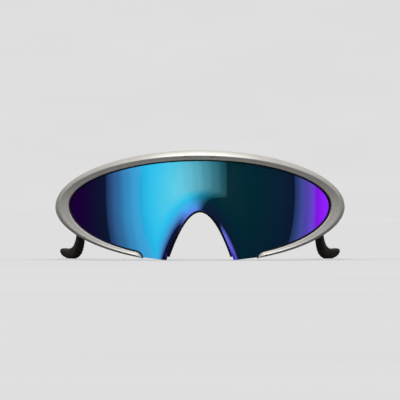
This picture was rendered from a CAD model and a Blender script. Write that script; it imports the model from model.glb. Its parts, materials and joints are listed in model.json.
"""Looks of the wraparound sport sunglasses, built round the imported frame."""
import json
import math

import bmesh
import bpy
from mathutils import Matrix, Vector


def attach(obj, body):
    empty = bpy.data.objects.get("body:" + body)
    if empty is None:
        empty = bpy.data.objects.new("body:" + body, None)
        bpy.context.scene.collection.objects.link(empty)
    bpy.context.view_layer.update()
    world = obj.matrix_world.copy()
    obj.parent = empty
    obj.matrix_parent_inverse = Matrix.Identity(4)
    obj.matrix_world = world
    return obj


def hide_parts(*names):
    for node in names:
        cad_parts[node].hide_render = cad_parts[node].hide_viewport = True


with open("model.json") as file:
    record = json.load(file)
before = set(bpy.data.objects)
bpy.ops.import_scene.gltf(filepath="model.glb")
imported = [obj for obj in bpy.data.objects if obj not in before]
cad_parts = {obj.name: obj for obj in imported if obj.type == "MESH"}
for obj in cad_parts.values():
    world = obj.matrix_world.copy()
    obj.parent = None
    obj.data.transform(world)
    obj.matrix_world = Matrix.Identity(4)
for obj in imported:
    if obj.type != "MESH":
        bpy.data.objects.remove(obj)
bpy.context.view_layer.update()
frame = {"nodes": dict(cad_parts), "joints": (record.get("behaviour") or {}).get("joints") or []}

# Shapes are worked out in millimetres, with Y = 0 at the lens's pole, and written in metres.
MM = 0.001
SIDES = (("left", 1), ("right", -1))
HINGE_BEHIND_POLE = 56.2
HINGE = [joint for joint in frame["joints"] if joint["name"] == "temple_left_fold"][0]["pos_m"]
HINGE_X = HINGE[0] / MM
HINGE_Z = HINGE[2] / MM
POLE_Y = HINGE[1] / MM - HINGE_BEHIND_POLE

# ---------------------------------------------------------------- the lens's front surface

POLE_Z = 34.0
WRAP_RADIUS = 80.0
LEAN_RADIUS = 107.0
LENS_THICK = 1.8
BEAK_DEPTH = 3.4
BEAK_HALF_WIDTH = 22.0
BEAK_RISE = 32.0
BEAK_BASE_Z = 5.0
BEAK_POWER = 2.4
BEAK_BIAS = 1.6
ARCH_TOP_Z = 25.3
ARCH_FOOT_HALF = 17.06


def beak_share(x, z):
    """0 at the beak's outer limit and outside it, 1 along the nose arch."""
    above = max(z - BEAK_BASE_Z, 0.0)
    outer = 1 - (abs(x) / BEAK_HALF_WIDTH) ** BEAK_POWER - (above / BEAK_RISE) ** BEAK_POWER
    if outer <= 0:
        return 0.0
    arch = z / ARCH_TOP_Z - 1 + (x / ARCH_FOOT_HALF) ** 2
    return outer / (outer + BEAK_BIAS * max(arch, 0.0))


def lens_y(x, z):
    wrap = WRAP_RADIUS - math.sqrt(WRAP_RADIUS**2 - x * x)
    lean = (z - POLE_Z) ** 2 / (2 * LEAN_RADIUS)
    return wrap + lean - BEAK_DEPTH * beak_share(x, z) ** 2


def lens_normal(x, z):
    """Unit normal of the lens's front surface, pointing to the back."""
    step = 0.01
    slope_x = (lens_y(x + step, z) - lens_y(x - step, z)) / (2 * step)
    slope_z = (lens_y(x, z + step) - lens_y(x, z - step)) / (2 * step)
    return Vector((-slope_x, 1, -slope_z)).normalized()


def off_lens(x, z, depth):
    """The point at a depth behind the lens's front surface, measured square to it."""
    return Vector((x, lens_y(x, z), z)) + lens_normal(x, z) * depth


# ---------------------------------------------------------------- mesh helpers

# How much of a side one corner's rounding may take.
MOST_OF_SIDE = 0.46


def mesh_object(name, points, faces, materials, material_of=None):
    """A mesh from points in millimetres round the lens's pole."""
    mesh = bpy.data.meshes.new(name)
    mesh.from_pydata([(p[0] * MM, (p[1] + POLE_Y) * MM, p[2] * MM) for p in points], [], faces)
    for material in materials:
        mesh.materials.append(material)
    if material_of:
        mesh.polygons.foreach_set("material_index", material_of)
    tool = bmesh.new()
    tool.from_mesh(mesh)
    bmesh.ops.recalc_face_normals(tool, faces=tool.faces)
    tool.to_mesh(mesh)
    tool.free()
    mesh.shade_smooth()
    piece = bpy.data.objects.new(name, mesh)
    bpy.context.scene.collection.objects.link(piece)
    return piece


def ring_mesh(rings):
    """Points and faces of a closed tube through rings of equally many points, with a cap at each end."""
    count = len(rings[0])
    points = [point for ring in rings for point in ring]
    faces = []
    for row in range(len(rings) - 1):
        for column in range(count):
            after = (column + 1) % count
            low, high = row * count, (row + 1) * count
            faces.append((low + column, low + after, high + after, high + column))
    faces.append(tuple(range(count)))
    faces.append(tuple(range((len(rings) - 1) * count, len(rings) * count)))
    return points, faces


def rounded(corners, radii, steps=3):
    """A closed outline, flat or in space, whose corners are rounded by quadratic curves."""
    points = []
    for index, corner in enumerate(corners):
        middle = Vector(corner)
        back = Vector(corners[index - 1]) - middle
        ahead = Vector(corners[(index + 1) % len(corners)]) - middle
        reach = min(radii[index], MOST_OF_SIDE * back.length, MOST_OF_SIDE * ahead.length)
        start = middle + back.normalized() * reach
        end = middle + ahead.normalized() * reach
        for step in range(steps + 1):
            t = step / steps
            points.append(start * (1 - t) ** 2 + middle * (2 * t * (1 - t)) + end * t**2)
    return points


def carve(target, tool, operation):
    """Applies a boolean of target with tool, and removes the tool."""
    modifier = target.modifiers.new("Carve", "BOOLEAN")
    modifier.object = tool
    modifier.operation = operation
    modifier.solver = "EXACT"
    bpy.context.view_layer.update()
    depsgraph = bpy.context.evaluated_depsgraph_get()
    mesh = bpy.data.meshes.new_from_object(target.evaluated_get(depsgraph))
    target.modifiers.clear()
    target.data = mesh
    bpy.data.objects.remove(tool)


def crisp(piece, degrees):
    """Edges sharper than an angle stay sharp, and flat faces keep flat shading next to rounded edges."""
    piece.data.set_sharp_from_angle(angle=math.radians(degrees))
    weighted = piece.modifiers.new("Shading", "WEIGHTED_NORMAL")
    weighted.keep_sharp = True
    return piece


def finished(piece, body, slot, *nodes):
    """Says what a piece rides on, its finish and which CAD nodes it stands for."""
    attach(piece, body)
    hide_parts(*nodes)


def natural_spline(knots, values):
    """A smooth function through values at rising knots."""
    count = len(knots)
    gaps = [knots[i + 1] - knots[i] for i in range(count - 1)]
    diagonal, right = [1.0] * count, [0.0] * count
    bends = [0.0] * count
    ratio = [0.0] * count
    for i in range(1, count - 1):
        slope = (values[i + 1] - values[i]) / gaps[i] - (values[i] - values[i - 1]) / gaps[i - 1]
        diagonal[i] = 2 * (gaps[i - 1] + gaps[i]) - gaps[i - 1] * ratio[i - 1]
        ratio[i] = gaps[i] / diagonal[i]
        right[i] = (6 * slope - gaps[i - 1] * right[i - 1]) / diagonal[i]
    for i in range(count - 2, 0, -1):
        bends[i] = right[i] - ratio[i] * bends[i + 1]

    def value(knot):
        i = max(j for j in range(count - 1) if j == 0 or knots[j] <= knot)
        gap = gaps[i]
        a, b = (knots[i + 1] - knot) / gap, (knot - knots[i]) / gap
        curve = ((a**3 - a) * bends[i] + (b**3 - b) * bends[i + 1]) * gap**2 / 6
        return a * values[i] + b * values[i + 1] + curve

    return value


# ---------------------------------------------------------------- materials


class Paint:
    """A material's node tree, with short ways to add and join nodes."""

    def __init__(self, name, **constants):
        self.material = bpy.data.materials.new(name)
        self.material.use_nodes = True
        self.tree = self.material.node_tree
        self.shader = self.tree.nodes["Principled BSDF"]
        for socket, value in constants.items():
            self.shader.inputs[socket.replace("_", " ")].default_value = value

    def node(self, kind, settings=None, **inputs):
        node = self.tree.nodes.new("ShaderNode" + kind)
        for name, value in (settings or {}).items():
            setattr(node, name, value)
        for name, value in inputs.items():
            self.feed(value, node.inputs[name.replace("_", " ")])
        return node

    def feed(self, value, socket):
        if hasattr(value, "links"):
            self.tree.links.new(value, socket)
        else:
            socket.default_value = value

    def to_shader(self, value, name):
        self.tree.links.new(value, self.shader.inputs[name])

    def place(self, stretch=(1, 1, 1)):
        """Object coordinates in metres, stretched."""
        spot = self.node("TexCoord").outputs["Object"]
        return self.node("Mapping", Vector=spot, Scale=stretch).outputs["Vector"]

    def noise(self, scale, detail=3.0, stretch=(1, 1, 1)):
        made = self.node("TexNoise", Vector=self.place(stretch), Scale=scale, Detail=detail)
        return made.outputs["Fac"]

    def math(self, operation, one, two=0.0):
        node = self.node("Math", {"operation": operation})
        self.feed(one, node.inputs[0])
        self.feed(two, node.inputs[1])
        return node.outputs["Value"]

    def spread(self, value, low, high, start=0.0, end=1.0):
        """value between start and end, spread from low to high."""
        node = self.node("MapRange", Value=value, From_Min=start, From_Max=end, To_Min=low, To_Max=high)
        return node.outputs["Result"]

    def ramp(self, value, stops, interpolation="LINEAR"):
        node = self.node("ValToRGB", Fac=value)
        node.color_ramp.interpolation = interpolation
        elements = node.color_ramp.elements
        for index, (position, color) in enumerate(stops):
            element = elements[index] if index < 2 else elements.new(position)
            element.position = position
            element.color = (*color, 1.0)
        return node.outputs["Color"]

    def blend(self, factor, one, two):
        """One colour over another, by a factor."""
        node = self.node("Mix", {"data_type": "RGBA"})
        for value, index in ((factor, 0), (one, 6), (two, 7)):
            self.feed(value, node.inputs[index])
        return node.outputs[2]

    def bump(self, height, distance, strength=1.0):
        node = self.node("Bump", Height=height, Distance=distance, Strength=strength)
        self.to_shader(node.outputs["Normal"], "Normal")


def mirror_coat():
    """The mirror coating, whose colour goes from teal where the lens faces forward to violet at its sides.

    The colours were matched to a reference picture seen from in front. They stay in place on the lens
    in every view, where a real thin film's would shift.
    """
    paint = Paint("mirror_coat", Metallic=0.97)
    normal = paint.node("SeparateXYZ", Vector=paint.node("TexCoord").outputs["Normal"])
    facing = paint.math("ABSOLUTE", normal.outputs["Y"])
    turned = paint.math("SUBTRACT", 1.0, facing)
    wander = paint.spread(paint.noise(60.0, 1.0), -0.006, 0.006)
    beak = paint.node("Attribute", {"attribute_name": "beak"}).outputs["Fac"]
    lilac = paint.math("POWER", beak, 2.0)
    kept = paint.math("MULTIPLY", turned, paint.math("SUBTRACT", 1.0, lilac))
    blended = paint.math("ADD", kept, paint.math("MULTIPLY", lilac, 0.21))
    slope = paint.spread(paint.math("ADD", blended, wander), 0.0, 1.0, 0.0, 0.6)
    stops = (
        (0.000, (0.17, 0.66, 0.85)),
        (0.018, (0.13, 0.65, 0.85)),
        (0.030, (0.09, 0.62, 0.85)),
        (0.077, (0.035, 0.55, 0.85)),
        (0.122, (0.018, 0.49, 0.85)),
        (0.138, (0.055, 0.46, 0.85)),
        (0.198, (0.060, 0.41, 0.85)),
        (0.253, (0.075, 0.35, 0.85)),
        (0.318, (0.10, 0.26, 0.83)),
        (0.437, (0.15, 0.12, 0.80)),
        (0.535, (0.19, 0.04, 0.80)),
        (0.548, (0.26, 0.004, 0.93)),
        (0.760, (0.28, 0.0, 1.0)),
        (1.000, (0.12, 0.0, 0.40)),
    )
    paint.to_shader(paint.ramp(slope, stops), "Base Color")
    haze = paint.spread(paint.noise(35.0, 4.0), 0.02, 0.05)
    paint.to_shader(haze, "Roughness")
    return paint.material


def lens_body():
    """The dark tinted plastic seen at the lens's edges and from behind."""
    paint = Paint("lens_body", Metallic=0.0, IOR=1.58, Coat_Weight=0.3, Coat_Roughness=0.05)
    tones = ((0.3, (0.010, 0.012, 0.016)), (0.7, (0.016, 0.017, 0.024)))
    tint = paint.ramp(paint.noise(18.0, 2.0), tones)
    paint.to_shader(tint, "Base Color")
    paint.to_shader(paint.spread(paint.noise(90.0, 4.0), 0.05, 0.13), "Roughness")
    return paint.material


def rim_lacquer():
    """Satin champagne lacquer with fine metal flakes."""
    paint = Paint("rim_lacquer", Metallic=0.30, Coat_Weight=0.2, Coat_Roughness=0.22)
    flakes = paint.node("TexVoronoi", Vector=paint.place(), Scale=4200.0).outputs["Color"]
    glint = paint.node("SeparateXYZ", Vector=flakes).outputs["X"]
    cloud = paint.noise(140.0, 4.0)
    tone = paint.ramp(cloud, ((0.25, (0.62, 0.595, 0.545)), (0.75, (0.70, 0.675, 0.625))))
    color = paint.blend(paint.spread(glint, 0.0, 0.35, 0.55, 1.0), tone, (0.84, 0.82, 0.77, 1.0))
    paint.to_shader(color, "Base Color")
    paint.to_shader(paint.spread(paint.noise(320.0, 5.0), 0.27, 0.40), "Roughness")
    height = paint.math("ADD", paint.math("MULTIPLY", glint, 0.5), paint.noise(900.0, 3.0))
    paint.bump(height, 0.00002, 0.35)
    return paint.material


def moulded_rubber(name, dark, light):
    """Soft rubber with a fine eroded skin and faint dusty patches."""
    paint = Paint(name, Metallic=0.0, IOR=1.5, Sheen_Weight=0.06, Sheen_Roughness=0.5)
    dust = paint.ramp(paint.noise(120.0, 5.0), ((0.42, dark), (0.72, light)))
    paint.to_shader(dust, "Base Color")
    paint.to_shader(paint.spread(paint.noise(260.0, 4.0), 0.46, 0.68), "Roughness")
    grain = paint.node("TexVoronoi", Vector=paint.place(), Scale=2600.0).outputs["Distance"]
    paint.bump(paint.math("ADD", grain, paint.noise(1500.0, 4.0)), 0.00004, 0.5)
    return paint.material


def satin_plastic():
    """Black moulded nylon with a fine spark-eroded grain."""
    paint = Paint("satin_plastic", Metallic=0.0, IOR=1.53)
    tones = ((0.3, (0.011, 0.010, 0.010)), (0.75, (0.021, 0.019, 0.018)))
    tone = paint.ramp(paint.noise(180.0, 4.0), tones)
    paint.to_shader(tone, "Base Color")
    paint.to_shader(paint.spread(paint.noise(500.0, 4.0), 0.33, 0.50), "Roughness")
    paint.bump(paint.noise(3200.0, 3.0), 0.00002, 0.5)
    return paint.material


def brushed_steel():
    """Stainless steel with fine lines along the glasses' depth."""
    paint = Paint("brushed_steel", Metallic=1.0)
    lines = paint.noise(2600.0, 4.0, (1.0, 0.03, 1.0))
    tone = paint.ramp(lines, ((0.3, (0.42, 0.41, 0.39)), (0.7, (0.60, 0.59, 0.56))))
    paint.to_shader(tone, "Base Color")
    paint.to_shader(paint.spread(lines, 0.24, 0.42, 0.3, 0.7), "Roughness")
    paint.bump(lines, 0.00002, 0.4)
    return paint.material


def turned_steel():
    """Polished screw steel with faint rings from the lathe."""
    paint = Paint("turned_steel", Metallic=1.0)
    spot = paint.node("TexCoord").outputs["Generated"]
    centre = paint.node("Mapping", Vector=spot, Location=(-0.5, -0.5, -0.5))
    rings = paint.node(
        "TexWave",
        {"wave_type": "RINGS", "rings_direction": "SPHERICAL"},
        Vector=centre.outputs["Vector"], Scale=14.0, Distortion=0.4,
    ).outputs["Fac"]
    tone = paint.ramp(rings, ((0.2, (0.50, 0.49, 0.47)), (0.8, (0.64, 0.63, 0.61))))
    paint.to_shader(tone, "Base Color")
    paint.to_shader(paint.spread(rings, 0.16, 0.27), "Roughness")
    paint.bump(rings, 0.00001, 0.5)
    return paint.material


def pale_floor():
    paint = Paint("pale_floor", Roughness=0.9, Metallic=0.0)
    paint.shader.inputs["Specular IOR Level"].default_value = 0.0
    tone = paint.ramp(paint.noise(4.0, 3.0), ((0.3, (0.53, 0.53, 0.53)), (0.7, (0.55, 0.55, 0.55))))
    paint.to_shader(tone, "Base Color")
    return paint.material


COAT = mirror_coat()
TINT = lens_body()
LACQUER = rim_lacquer()
BLACK_RUBBER = moulded_rubber("black_rubber", (0.007, 0.007, 0.007), (0.016, 0.016, 0.016))
BROWN_RUBBER = moulded_rubber("brown_rubber", (0.016, 0.012, 0.010), (0.034, 0.028, 0.024))
PLASTIC = satin_plastic()
BRUSHED = brushed_steel()
TURNED = turned_steel()

# ---------------------------------------------------------------- rim

OPENING_HALF = 66.5
OPENING_MID_Z = 27.8
OPENING_RISE = 23.05
OPENING_DROP = 26.8
OUTLINE_HALF = 74.0
OUTLINE_MID_Z = 27.0
OUTLINE_RISE = 29.1
OUTLINE_DROP = 28.9
OUTLINE_LOW_POWER = 1.92
LIMB_END = 154.3
LIMB_ROUND = 150.7
LIP = 1.1
RIDGE = 2.4
RIDGE_SHARE = 0.36
RIDGE_SWING = 0.13
EDGE_BACK = 1.2
RIM_BACK = 4.2
LIMB_BACK = 3.0
GROOVE_FRONT = 0.5
GROOVE_BACK = 1.95
GROOVE_SHARE = 0.38
GROOVE_MOST = 2.0
LIMB_STEP = 0.7
SLOT_ANGLE = 131.0
LENS_EDGE_GAP = 0.25
# Length, width and depth of the cuts for the brow clip and for the catches.
RECESS_SIZES = (16.4, 1.5, 0.8)
SLOT_SIZES = (4.0, 1.7, 1.6)
CUT_ROUNDING = 0.3


def outline_excess(x, z):
    """Below 0 inside the rim's outline in front view, above 0 outside it."""
    above = z - OUTLINE_MID_Z
    power = 2.0 if above > 0 else OUTLINE_LOW_POWER
    reach = OUTLINE_RISE if above > 0 else OUTLINE_DROP
    return abs(x / OUTLINE_HALF) ** power + abs(above / reach) ** power - 1


def rim_station(angle):
    """The opening's edge at an angle from the top, the way outward, the band's width and its tip scale."""
    turn = math.radians(angle)
    reach = OPENING_RISE if math.cos(turn) > 0 else OPENING_DROP
    edge = Vector((OPENING_HALF * math.sin(turn), 0, OPENING_MID_Z + reach * math.cos(turn)))
    outward = Vector((math.sin(turn) / OPENING_HALF, 0, math.cos(turn) / reach)).normalized()
    near, far = 0.0, 15.0
    for _ in range(40):
        width = (near + far) / 2
        point = edge + outward * width
        near, far = (near, width) if outline_excess(point.x, point.z) > 0 else (width, far)
    share = max((abs(angle) - LIMB_ROUND) / (LIMB_END - LIMB_ROUND), 0.0)
    scale = math.sqrt(1 - (0.97 * share) ** 2)
    return edge + outward * (width * (1 - scale)), outward, width * scale, scale


def rim_point(angle, distance, depth):
    edge, outward, _, _ = rim_station(angle)
    point = edge + outward * distance
    return off_lens(point.x, point.z, depth)


def groove_floor(width):
    return min(GROOVE_MOST, GROOVE_SHARE * width)


def ridge_share(angle):
    """Where the ridge lies across the band: nearer its middle at the glasses' sides."""
    return RIDGE_SHARE + RIDGE_SWING * math.sin(math.radians(angle)) ** 2


def rim_section(angle):
    """The rim's section at an angle, with its edges rounded."""
    edge_point, outward, width, scale = rim_station(angle)
    ridge = LIP + (RIDGE - LIP) * scale
    upright = math.cos(math.radians(angle))
    edge = EDGE_BACK * upright**2
    back = RIM_BACK + (RIM_BACK - LIMB_BACK) * min(upright, 0.0)
    step = LIMB_STEP * max(abs(angle) - SLOT_ANGLE, 0.0) / (LIMB_END - SLOT_ANGLE)
    top = ridge_share(angle)
    groove = groove_floor(width)
    corners = (
        ((0.0, -LIP), 0.22),
        ((0.5 * top * width, -0.55 * LIP - 0.45 * ridge), 0.8),
        ((0.86 * top * width, 0.06 - ridge), 0.3),
        ((top * width, -ridge), 0.3),
        (((top + 0.04) * width, 0.12 - ridge + step), 0.2),
        ((0.5 * (top + 1.04) * width, 0.5 * (edge - ridge + step) - 0.3), 1.2),
        ((0.97 * width, edge - 0.4), 0.5),
        ((width, edge + 0.3), 0.5),
        ((0.97 * width, back - 0.6), 0.5),
        ((0.86 * width, back), 0.5),
        ((0.12 * width, back), 0.3),
        ((0.0, back - 0.45), 0.3),
        ((0.0, GROOVE_BACK), 0.1),
        ((groove, GROOVE_BACK), 0.05),
        ((groove, -GROOVE_FRONT), 0.05),
        ((0.0, -GROOVE_FRONT), 0.1),
    )
    outline = rounded([corner for corner, _ in corners], [radius for _, radius in corners])
    ring = []
    for distance, depth in outline:
        point = edge_point + outward * distance
        ring.append(off_lens(point.x, point.z, depth))
    return ring


def rim_frame(angle, distances, depths):
    """The middle of two points on the rim, with X along the loop, Y outward and Z out of the surface."""
    low = rim_point(angle, distances[0], depths[0])
    high = rim_point(angle, distances[1], depths[1])
    ahead = rim_point(angle + 0.5, distances[0], depths[0])
    along = ahead - rim_point(angle - 0.5, distances[0], depths[0])
    out = along.cross(high - low)
    if out.y > 0:
        along, out = along * -1, out * -1
    along.normalize()
    out.normalize()
    over = out.cross(along)
    return (low + high) * 0.5, along, over, out


def slot_tool(name, place, length, width, depth):
    """A rounded cutter that goes to a depth below a place on the rim."""
    middle, along, over, out = place
    right, top = length / 2, width / 2
    corners = [(-right, -top), (right, -top), (right, top), (-right, top)]
    outline = rounded(corners, [CUT_ROUNDING] * 4, 4)
    rings = []
    for level in (-depth, 1.0):
        rings.append([middle + along * across + over * upward + out * level for across, upward in outline])
    return mesh_object(name, *ring_mesh(rings), [LACQUER])


def hinge_lug(side):
    """The part of the rim's side that carries the hinge plate."""
    inner_x, start_y, end_y, cut = 65.6, 42.0, 52.0, 0.9
    start_wide, end_wide, start_high, end_high = 3.8, 7.2, 7.0, 9.2
    steps = 8
    rings = []
    for step in range(steps + 1):
        t = step / steps
        wide = start_wide + (end_wide - start_wide) * t
        high = start_high + (end_high - start_high) * t
        middle = Vector((inner_x + wide / 2, start_y + (end_y - start_y) * t, HINGE_Z))
        corners = []
        for across, upward in ((1, 1), (-1, 1), (-1, -1), (1, -1)):
            flat = (across * (wide / 2 - cut), upward * high / 2)
            steep = (across * wide / 2, upward * (high / 2 - cut))
            corners += [steep, flat] if across * upward > 0 else [flat, steep]
        outline = rounded(corners, [0.5] * 8, 2)
        rings.append([Vector((side * (middle.x + a), middle.y, middle.z + b)) for a, b in outline])
    return mesh_object("Lug", *ring_mesh(rings), [LACQUER])


def build_rim():
    straight = [LIMB_ROUND * step / 230 for step in range(231)]
    tip = [LIMB_ROUND + (LIMB_END - LIMB_ROUND) * math.sin(math.pi / 2 * step / 14) for step in range(1, 15)]
    half = straight + tip
    angles = [-angle for angle in reversed(half[1:])] + half
    rim = mesh_object("Rim", *ring_mesh([rim_section(angle) for angle in angles]), [LACQUER])
    for _, side in SIDES:
        carve(rim, hinge_lug(side), "UNION")
    _, _, width, _ = rim_station(0.0)
    brow = rim_frame(0.0, (0.0, RIDGE_SHARE * width), (-LIP, -RIDGE))
    carve(rim, slot_tool("Recess", brow, *RECESS_SIZES), "DIFFERENCE")
    for _, side in SIDES:
        angle = side * SLOT_ANGLE
        _, _, width, _ = rim_station(angle)
        edge = EDGE_BACK * math.cos(math.radians(angle)) ** 2
        flank = rim_frame(
            angle, (0.54 * width, 0.84 * width), (0.1 - 0.9 * RIDGE, 0.6 * edge - 0.4 * RIDGE - 0.1)
        )
        carve(rim, slot_tool("Slot", flank, *SLOT_SIZES), "DIFFERENCE")
    finished(crisp(rim, 38), "front", "rim_paint", "front_frame")


build_rim()

# ---------------------------------------------------------------- lens


def lens_spots(share, across):
    """Front and back points of the lens, for across from 0 at the nose arch to 1 at the outer edge."""
    arch = Vector((ARCH_FOOT_HALF * share, 0, ARCH_TOP_Z * (1 - share**2)))
    edge, outward, width, _ = rim_station(LIMB_END * share)
    flat = arch.lerp(edge + outward * (groove_floor(width) - LENS_EDGE_GAP), across)
    normal = lens_normal(flat.x, flat.z)
    straight = Vector((0, 1 / max(normal.y, 0.6), 0))
    blend = (1 - across) ** 4
    front = Vector((flat.x, lens_y(flat.x, flat.z), flat.z))
    return front, front + (normal * (1 - blend) + straight * blend) * LENS_THICK


def build_lens():
    """A closed shell: mirror-coated front, dark edges with a small polished bevel, dark back."""
    rows, columns, bevel = 300, 60, 0.22
    rings = []
    for row in range(rows + 1):
        share = math.sin(math.radians(-90 + 180 * row / rows))
        spots = [lens_spots(share, (column / columns) ** 1.6) for column in range(columns + 1)]
        fronts = [front for front, _ in spots]
        backs = [back for _, back in spots]
        ring = []
        for line, other in ((fronts, backs), (backs, fronts)):
            through = (other[0] - line[0]).normalized()
            inward = (line[1] - line[0]).normalized()
            eased = []
            for a, b in ((0, 1), (0.3, 0.3), (1, 0)):
                eased.append(line[0] + inward * (bevel * a) + through * (bevel * b))
            run = eased + [p for p in line[1:] if (p - line[0]).length > 2 * bevel]
            while len(run) < columns + 3:
                run.insert(3, run[3].lerp(run[2], 0.5))
            ring.append(run)
        rings.append(list(reversed(ring[0])) + ring[1])
    points, faces = ring_mesh(rings)
    per_run = columns + 3
    coated = [1] * len(faces)
    for row in range(rows):
        for column in range(per_run - 1):
            coated[row * 2 * per_run + column] = 0
    lens = mesh_object("Lens", points, faces, [COAT, TINT], coated)
    beak = lens.data.attributes.new("beak", "FLOAT", "POINT")
    beak.data.foreach_set("value", [beak_share(point[0], point[2]) for point in points])
    finished(crisp(lens, 40), "front", "mirror_lens", "shield_lens")


build_lens()

# ---------------------------------------------------------------- nose bridge and pads

BRIDGE_GAP = 0.3
BRIDGE_BACK_GAP = 0.42
BRIDGE_EDGE = 1.05
BRIDGE_FLANGE = 3.0
BRIDGE_WALL = 1.3
BRIDGE_END = 0.962


def arch_frame(share):
    """The arch's point on the lens's front, the way into the opening and the edge's own depth."""
    front, back = lens_spots(share, 0.0)
    slope = 2 * ARCH_TOP_Z * share / ARCH_FOOT_HALF
    return front, Vector((-slope, 0, -1)).normalized(), back.y - front.y


def build_bridge():
    rings = []
    stations, flange_steps = 150, 5
    for step in range(stations + 1):
        share = BRIDGE_END * (2 * step / stations - 1)
        front, inward, deep = arch_frame(share)
        arch = Vector((ARCH_FOOT_HALF * share, 0, ARCH_TOP_Z * (1 - share**2)))
        edge, outward, width, _ = rim_station(LIMB_END * share)
        reach = (edge + outward * (groove_floor(width) - LENS_EDGE_GAP) - arch).length
        inner, outer = [], []
        for part in range(1, flange_steps + 1):
            spot, back = lens_spots(share, BRIDGE_FLANGE * part / flange_steps / reach)
            behind = (back - spot).normalized()
            inner.append(back + behind * BRIDGE_BACK_GAP)
            outer.append(back + behind * (BRIDGE_BACK_GAP + BRIDGE_WALL))
        near, far = front + inward * BRIDGE_GAP, front + inward * BRIDGE_EDGE
        corners = [
            near + Vector((0, 0.25, 0)), far + Vector((0, 0.25, 0)),
            far + Vector((0, deep + BRIDGE_BACK_GAP + BRIDGE_WALL + 0.3, 0)),
            *outer, *reversed(inner),
            near + Vector((0, deep + BRIDGE_BACK_GAP, 0)),
        ]
        radii = [0.25, 0.3, 0.6] + [0.3] * (flange_steps - 1) + [0.5, 0.3] + [0.3] * flange_steps
        rings.append(rounded(corners, radii))
    bridge = mesh_object("NoseBridge", *ring_mesh(rings), [PLASTIC])
    finished(crisp(bridge, 40), "front", "black_plastic", "nose_bridge")


def build_pad(name, side):
    """A soft lobe with fine grip ribs, turned towards the side of the nose."""
    half_thick, half_deep, half_high = 1.7, 3.6, 7.6
    share, inset, behind, splay_degrees = 0.72, 1.1, 3.2, -22
    rib_depth, rib_pitch, ribbed = 0.10, 1.15, 0.82
    front, inward, deep = arch_frame(share)
    slope = 2 * ARCH_TOP_Z * share / ARCH_FOOT_HALF
    up = Vector((-1, 0, slope)).normalized()
    middle = front - inward * inset + Vector((0, deep + BRIDGE_WALL + behind, 0))
    back = Vector((0, 1, 0))
    splay = Matrix.Rotation(math.radians(splay_degrees), 3, up)
    rows, columns = 72, 48
    rings = []
    for row in range(rows + 1):
        lift = math.pi * (0.004 + 0.992 * row / rows) - math.pi / 2
        ring = []
        for column in range(columns):
            turn = 2 * math.pi * column / columns
            high, out = math.sin(lift), math.cos(lift)
            grip = max(math.cos(turn), 0.0) ** 2 * max(1 - (high / ribbed) ** 4, 0.0)
            rib = rib_depth * grip * (0.5 - 0.5 * math.cos(high * half_high * 2 * math.pi / rib_pitch))
            thick = (half_thick - rib) * out * math.copysign(abs(math.cos(turn)) ** 0.85, math.cos(turn))
            wide = half_deep * out * math.sin(turn)
            local = inward * thick + back * wide + up * (half_high * high)
            spot = middle + splay @ local
            ring.append(Vector((side * spot.x, spot.y, spot.z)))
        rings.append(ring)
    pad = mesh_object("NosePad_" + name, *ring_mesh(rings), [BROWN_RUBBER])
    finished(crisp(pad, 50), "front", "brown_rubber", "nose_pad_" + name)


build_bridge()
for side_name, side_sign in SIDES:
    build_pad(side_name, side_sign)

# ---------------------------------------------------------------- temples

# The temple's middle line on the +X side, from the hinge over the ear to the flared tip, with half
# the thickness and half the height there.
TEMPLE_STATIONS = (
    ((70.35, 52.25, 27.5), 2.45, 4.6),
    ((70.30, 62.0, 27.5), 2.35, 4.55),
    ((69.7, 76.0, 27.4), 2.0, 4.2),
    ((68.4, 92.0, 27.1), 1.8, 3.8),
    ((66.6, 106.0, 26.3), 1.75, 3.4),
    ((64.9, 118.0, 24.0), 1.8, 3.2),
    ((63.1, 129.5, 18.8), 1.9, 3.2),
    ((62.2, 138.0, 13.2), 2.0, 3.1),
    ((62.9, 145.0, 7.6), 2.1, 2.9),
    ((65.3, 150.2, 3.2), 2.2, 2.8),
    ((69.1, 154.0, 2.8), 2.1, 2.25),
    ((72.9, 156.4, 4.6), 1.6, 1.5),
)
SOCK_START = 0.5
SOCK_SKIN = 0.25
RING_SPOTS = 72


def temple_splines():
    points = [Vector(place) for place, _, _ in TEMPLE_STATIONS]
    steps = [0.0]
    for one, two in zip(points, points[1:]):
        steps.append(steps[-1] + (two - one).length)
    shares = [step / steps[-1] for step in steps]
    columns = [[point[axis] for point in points] for axis in range(3)]
    columns += [[station[size] for station in TEMPLE_STATIONS] for size in (1, 2)]
    return [natural_spline(shares, column) for column in columns]


TEMPLE = temple_splines()


def temple_axes(share):
    """Middle point, the way outward across the temple and the way up it."""
    middle = Vector([TEMPLE[axis](share) for axis in range(3)])
    low, high = max(share - 0.001, 0.0), min(share + 0.001, 1.0)
    along = Vector([TEMPLE[axis](high) - TEMPLE[axis](low) for axis in range(3)])
    if share == 0:
        along = Vector((0, 1, 0))
    across = along.cross(Vector((0, 0, 1))).normalized()
    return middle, across, across.cross(along.normalized())


def temple_ring(side, share, grow, scale, power, relief=None):
    """A squarish ring round the temple. relief gives how far a spot is sunk, from its turn."""
    middle, across, up = temple_axes(share)
    half_thick, half_high = (TEMPLE[3](share) + grow) * scale, (TEMPLE[4](share) + grow) * scale
    ring = []
    for step in range(RING_SPOTS):
        turn = 2 * math.pi * step / RING_SPOTS
        sunk = relief(share, turn) if relief else 0.0
        a = math.copysign(abs(math.cos(turn)) ** (2 / power), math.cos(turn)) * (half_thick - sunk)
        b = math.copysign(abs(math.sin(turn)) ** (2 / power), math.sin(turn)) * (half_high - sunk)
        point = middle + across * a + up * b
        ring.append(Vector((side * point.x, point.y, max(point.z, 0.0))))
    return ring


def faded(share, first, last, fade):
    """1 between two shares, falling to 0 at both over a distance."""
    return min(max((share - first) / fade, 0.0), 1.0) * min(max((last - share) / fade, 0.0), 1.0)


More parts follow.
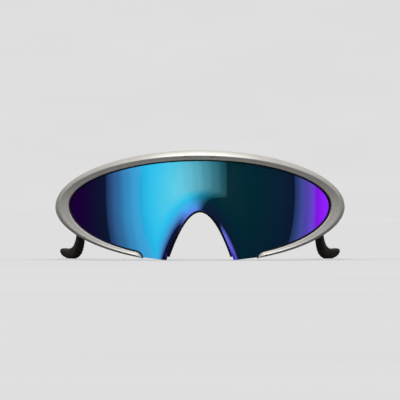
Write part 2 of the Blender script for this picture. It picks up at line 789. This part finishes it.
def arm_relief(share, turn):
    """A shallow groove along the outer side, which fades in behind the hinge and out at the sock."""
    deepest, height, half_width = 0.22, 0.36, 0.10
    line = math.exp(-((math.sin(turn) - height) / half_width) ** 2)
    return deepest * faded(share, 0.10, 0.46, 0.05) * line if math.cos(turn) > 0 else 0.0


def sock_relief(share, turn):
    """Grip ribs on the sock's inner and lower sides."""
    deepest, ribs = 0.16, 62
    inner = max(-math.cos(turn - 0.5), 0.0) ** 0.7
    wave = (0.5 - 0.5 * math.cos(share * 2 * math.pi * ribs)) ** 2
    return deepest * faded(share, 0.60, 0.93, 0.03) * inner * wave


def build_temple(name, side):
    body = "temple_" + name
    steps, arm_power, collar_power, sock_power = 110, 3.2, 3.0, 2.6
    rings = []
    for step in range(steps + 1):
        rings.append(temple_ring(side, SOCK_START * step / steps, 0.0, 1.0, arm_power, arm_relief))
    arm = mesh_object("TempleArm_" + name, *ring_mesh(rings), [LACQUER])
    # The pocket for the hinge is open to the inside, and ends at the arm's outer skirt.
    inside_x, skirt_x, ahead_y, pocket_end, half_tall = 60.0, 70.65, 48.0, 58.75, 10
    corners = [(inside_x, ahead_y), (skirt_x, ahead_y), (skirt_x, pocket_end), (inside_x, pocket_end)]
    outline = rounded(corners, [0.6] * 4)
    rings = [[Vector((side * x, y, HINGE_Z + up)) for x, y in outline] for up in (-half_tall, half_tall)]
    carve(arm, mesh_object("Pocket", *ring_mesh(rings), [LACQUER]), "DIFFERENCE")
    finished(crisp(arm, 35), body, "rim_paint", "temple_arm_" + name)

    collar = (
        (0.0, 0.10), (0.0015, 0.22), (0.006, 0.38), (0.012, 0.42),
        (0.020, 0.38), (0.030, 0.28), (0.036, SOCK_SKIN),
    )
    rings = [temple_ring(side, SOCK_START + shift, grow, 1.0, collar_power) for shift, grow in collar]
    first, last, steps = 0.04, 0.47, 230
    for step in range(steps + 1):
        share = SOCK_START + first + (last - first) * step / steps
        rings.append(temple_ring(side, share, SOCK_SKIN, 1.0, sock_power, sock_relief))
    # The round tip stops a little before the ring shrinks to a point.
    for step in range(1, 15):
        swing = math.pi / 2 * step / 14.4
        share = SOCK_START + last + (1 - SOCK_START - last) * math.sin(swing)
        rings.append(temple_ring(side, share, SOCK_SKIN, math.cos(swing), sock_power))
    sock = mesh_object("EarSock_" + name, *ring_mesh(rings), [BROWN_RUBBER])
    finished(crisp(sock, 50), body, "brown_rubber", "ear_sock_" + name)


for side_name, side_sign in SIDES:
    build_temple(side_name, side_sign)

# ---------------------------------------------------------------- finishes of the CAD nodes that stay

FINISHES = {
    "lens_seal": BLACK_RUBBER,
    "brow_clip": LACQUER,
    "lens_catch_left": PLASTIC,
    "lens_catch_right": PLASTIC,
}
for side_name, _ in SIDES:
    FINISHES["hinge_block_" + side_name] = BRUSHED
    FINISHES["temple_core_" + side_name] = BRUSHED
    FINISHES["hinge_screw_" + side_name] = TURNED
    FINISHES["bracket_screw_" + side_name] = TURNED
    FINISHES["hinge_washers_" + side_name] = PLASTIC
for node, finish in FINISHES.items():
    mesh = frame["nodes"][node].data
    mesh.materials.clear()
    mesh.materials.append(finish)

# ---------------------------------------------------------------- studio

CENTRE = Vector((0, -0.04, 0.03))
PANEL_DISTANCE = 2.5


def build_floor():
    """A flat disc that curves up gently into a low wall far away, all round."""
    radius, bend, flat_rows, bent_rows, steepest = 8.0, 5.0, 20, 24, math.radians(60)
    profile = [(radius * step / flat_rows, 0.0) for step in range(1, flat_rows + 1)]
    for step in range(1, bent_rows + 1):
        swing = steepest * step / bent_rows
        profile.append((radius + bend * math.sin(swing), bend * (1 - math.cos(swing))))
    points, faces = [(0.0, 0.0, 0.0)], []
    count = 96
    for far, high in profile:
        for step in range(count):
            turn = 2 * math.pi * step / count
            points.append((far * math.cos(turn), far * math.sin(turn), high))
    for step in range(count):
        after = (step + 1) % count
        faces.append((0, 1 + step, 1 + after))
        for row in range(len(profile) - 1):
            low, high = 1 + row * count, 1 + (row + 1) * count
            faces.append((low + step, high + step, high + after, low + after))
    mesh = bpy.data.meshes.new("Floor")
    mesh.from_pydata(points, [], faces)
    mesh.materials.append(pale_floor())
    mesh.shade_smooth()
    floor = bpy.data.objects.new("Floor", mesh)
    bpy.context.scene.collection.objects.link(floor)
    floor.visible_glossy = False
    floor.visible_diffuse = False
    floor.visible_shadow = False


def build_panel(name, mirrored, elevations, glow, lean):
    """A curved softbox that lights only the lens.

    glow lists azimuths, from 0 on the camera's side up to +X, and the light there. The first edge
    leans, by low times the elevation squared below the horizon and high times its cube above it.
    """
    rows, columns = 48, 48
    soft_side, soft_top = 0.012, 0.93
    low, high = lean
    first, last = glow[0][0], glow[-1][0]
    points, faces, marks = [], [], []
    for row in range(rows + 1):
        for column in range(columns + 1):
            u, v = column / columns, row / rows
            rise = elevations[0] + (elevations[1] - elevations[0]) * v
            shift = low * min(rise, 0) ** 2 if rise < 0 else high * rise**3
            edge = first + max(min(shift, 12), -36)
            azimuth = math.radians(edge + (last - edge) * u)
            elevation = math.radians(rise)
            away = Vector((math.sin(azimuth), -math.cos(azimuth), math.tan(elevation)))
            points.append(CENTRE + away * PANEL_DISTANCE)
            marks.append((u, v))
    for row in range(rows):
        for column in range(columns):
            corner = row * (columns + 1) + column
            faces.append((corner, corner + 1, corner + columns + 2, corner + columns + 1))
    mesh = bpy.data.meshes.new(name)
    mesh.from_pydata(points, [], faces)
    layer = mesh.uv_layers.new(name="UVMap")
    for loop in mesh.loops:
        layer.data[loop.index].uv = marks[loop.vertex_index]
    paint = Paint(name, Base_Color=(0, 0, 0, 1), Roughness=1.0)
    spot = paint.node("SeparateXYZ", Vector=paint.node("TexCoord").outputs["UV"])
    u, v = spot.outputs["X"], spot.outputs["Y"]
    stops = [((azimuth - first) / (last - first), (level, level, level)) for azimuth, level in glow]
    level = paint.ramp(u, stops, "EASE")
    sides = paint.spread(paint.math("PINGPONG", u, 0.5), 0.0, 1.0, 0.0, soft_side)
    edge = paint.math("MULTIPLY", sides, paint.spread(v, 0.0, 1.0, 1.0, soft_top))
    paint.shader.inputs["Emission Color"].default_value = (1.0, 1.0, 1.0, 1.0)
    paint.to_shader(paint.math("MULTIPLY", level, edge), "Emission Strength")
    mesh.materials.append(paint.material)
    panel = bpy.data.objects.new(name, mesh)
    bpy.context.scene.collection.objects.link(panel)
    panel.visible_camera = False
    panel.visible_shadow = False
    panel.visible_diffuse = False
    panel.light_linking.receiver_collection = mirrored


def build_lights():
    """Softboxes for the lens alone, and a soft sun for the rest.

    The softboxes' levels and leaning edges were matched to the bands that a reference picture shows in
    the lens from in front, so they aren't plain even light.
    """
    front = (
        (-74.4, 0.12), (-64, 0.36), (-56, 0.60), (-49, 0.78), (-43.9, 0.82), (-43.0, 0.90),
        (-35, 1.0), (-21, 0.97), (-15, 0.90), (-8, 0.76), (-1.5, 0.61), (5, 0.41), (11.6, 0.25),
        (18, 0.11), (20.5, 0.08),
    )
    mirrored = bpy.data.collections.new("Mirrored")
    mirrored.objects.link(bpy.data.objects["Lens"])
    build_panel("PanelFront", mirrored, (-82, 62), front, (0.0065, -0.002))
    right = ((74.4, 0.13), (85, 0.45), (94, 0.80), (106, 1.0), (125, 1.0))
    build_panel("PanelRight", mirrored, (-40, 17), right, (-0.0105, 0.0))
    sun = bpy.data.lights.new("Top", "SUN")
    sun.energy = 1.4
    sun.angle = math.radians(50)
    lamp = bpy.data.objects.new("Top", sun)
    lamp.rotation_euler = (math.radians(12), 0, 0)
    bpy.context.scene.collection.objects.link(lamp)


def build_world():
    """A dome, bright above and dim below. In reflections it is almost dark, but for its top."""
    world = bpy.data.worlds.new("Studio")
    world.use_nodes = True
    world.cycles.sampling_method = "NONE"
    bpy.context.scene.world = world
    tree = world.node_tree

    def dome(stops, strength):
        up = tree.nodes.new("ShaderNodeSeparateXYZ")
        tree.links.new(tree.nodes.new("ShaderNodeTexCoord").outputs["Generated"], up.inputs[0])
        ramp = tree.nodes.new("ShaderNodeValToRGB")
        for index, (position, level) in enumerate(stops):
            elements = ramp.color_ramp.elements
            element = elements[index] if index < 2 else elements.new(position)
            element.position = position
            element.color = (level, level, level, 1.0)
        height = tree.nodes.new("ShaderNodeMapRange")
        height.inputs["From Min"].default_value = -1.0
        tree.links.new(up.outputs["Z"], height.inputs["Value"])
        tree.links.new(height.outputs["Result"], ramp.inputs["Fac"])
        back = tree.nodes.new("ShaderNodeBackground")
        back.inputs["Strength"].default_value = strength
        tree.links.new(ramp.outputs["Color"], back.inputs["Color"])
        return back.outputs[0]

    path = tree.nodes.new("ShaderNodeLightPath")
    mix = tree.nodes.new("ShaderNodeMixShader")
    tree.links.new(path.outputs["Is Glossy Ray"], mix.inputs[0])
    all_round = ((0.30, 0.05), (0.46, 0.64), (0.68, 0.82), (0.9, 1.0))
    tree.links.new(dome(all_round, 1.0), mix.inputs[1])
    tree.links.new(dome(((0.93, 0.016), (0.97, 1.0)), 1.4), mix.inputs[2])
    tree.links.new(mix.outputs[0], tree.nodes["World Output"].inputs["Surface"])


def build_camera():
    """Level, a little above the floor and far away, with the glasses' width across most of the picture."""
    away, field, eye_height, front_y = 5.0, 0.204, 0.0306, -0.05
    data = bpy.data.cameras.new("Camera")
    data.sensor_width = 36.0
    data.lens = data.sensor_width * away / field
    data.clip_start = 0.1
    data.clip_end = 100
    camera = bpy.data.objects.new("Camera", data)
    camera.location = (0, front_y - away, eye_height)
    camera.rotation_euler = (math.radians(90), 0, 0)
    bpy.context.scene.collection.objects.link(camera)
    bpy.context.scene.camera = camera


bpy.context.scene.view_settings.view_transform = "Standard"
build_floor()
build_lights()
build_world()
build_camera()
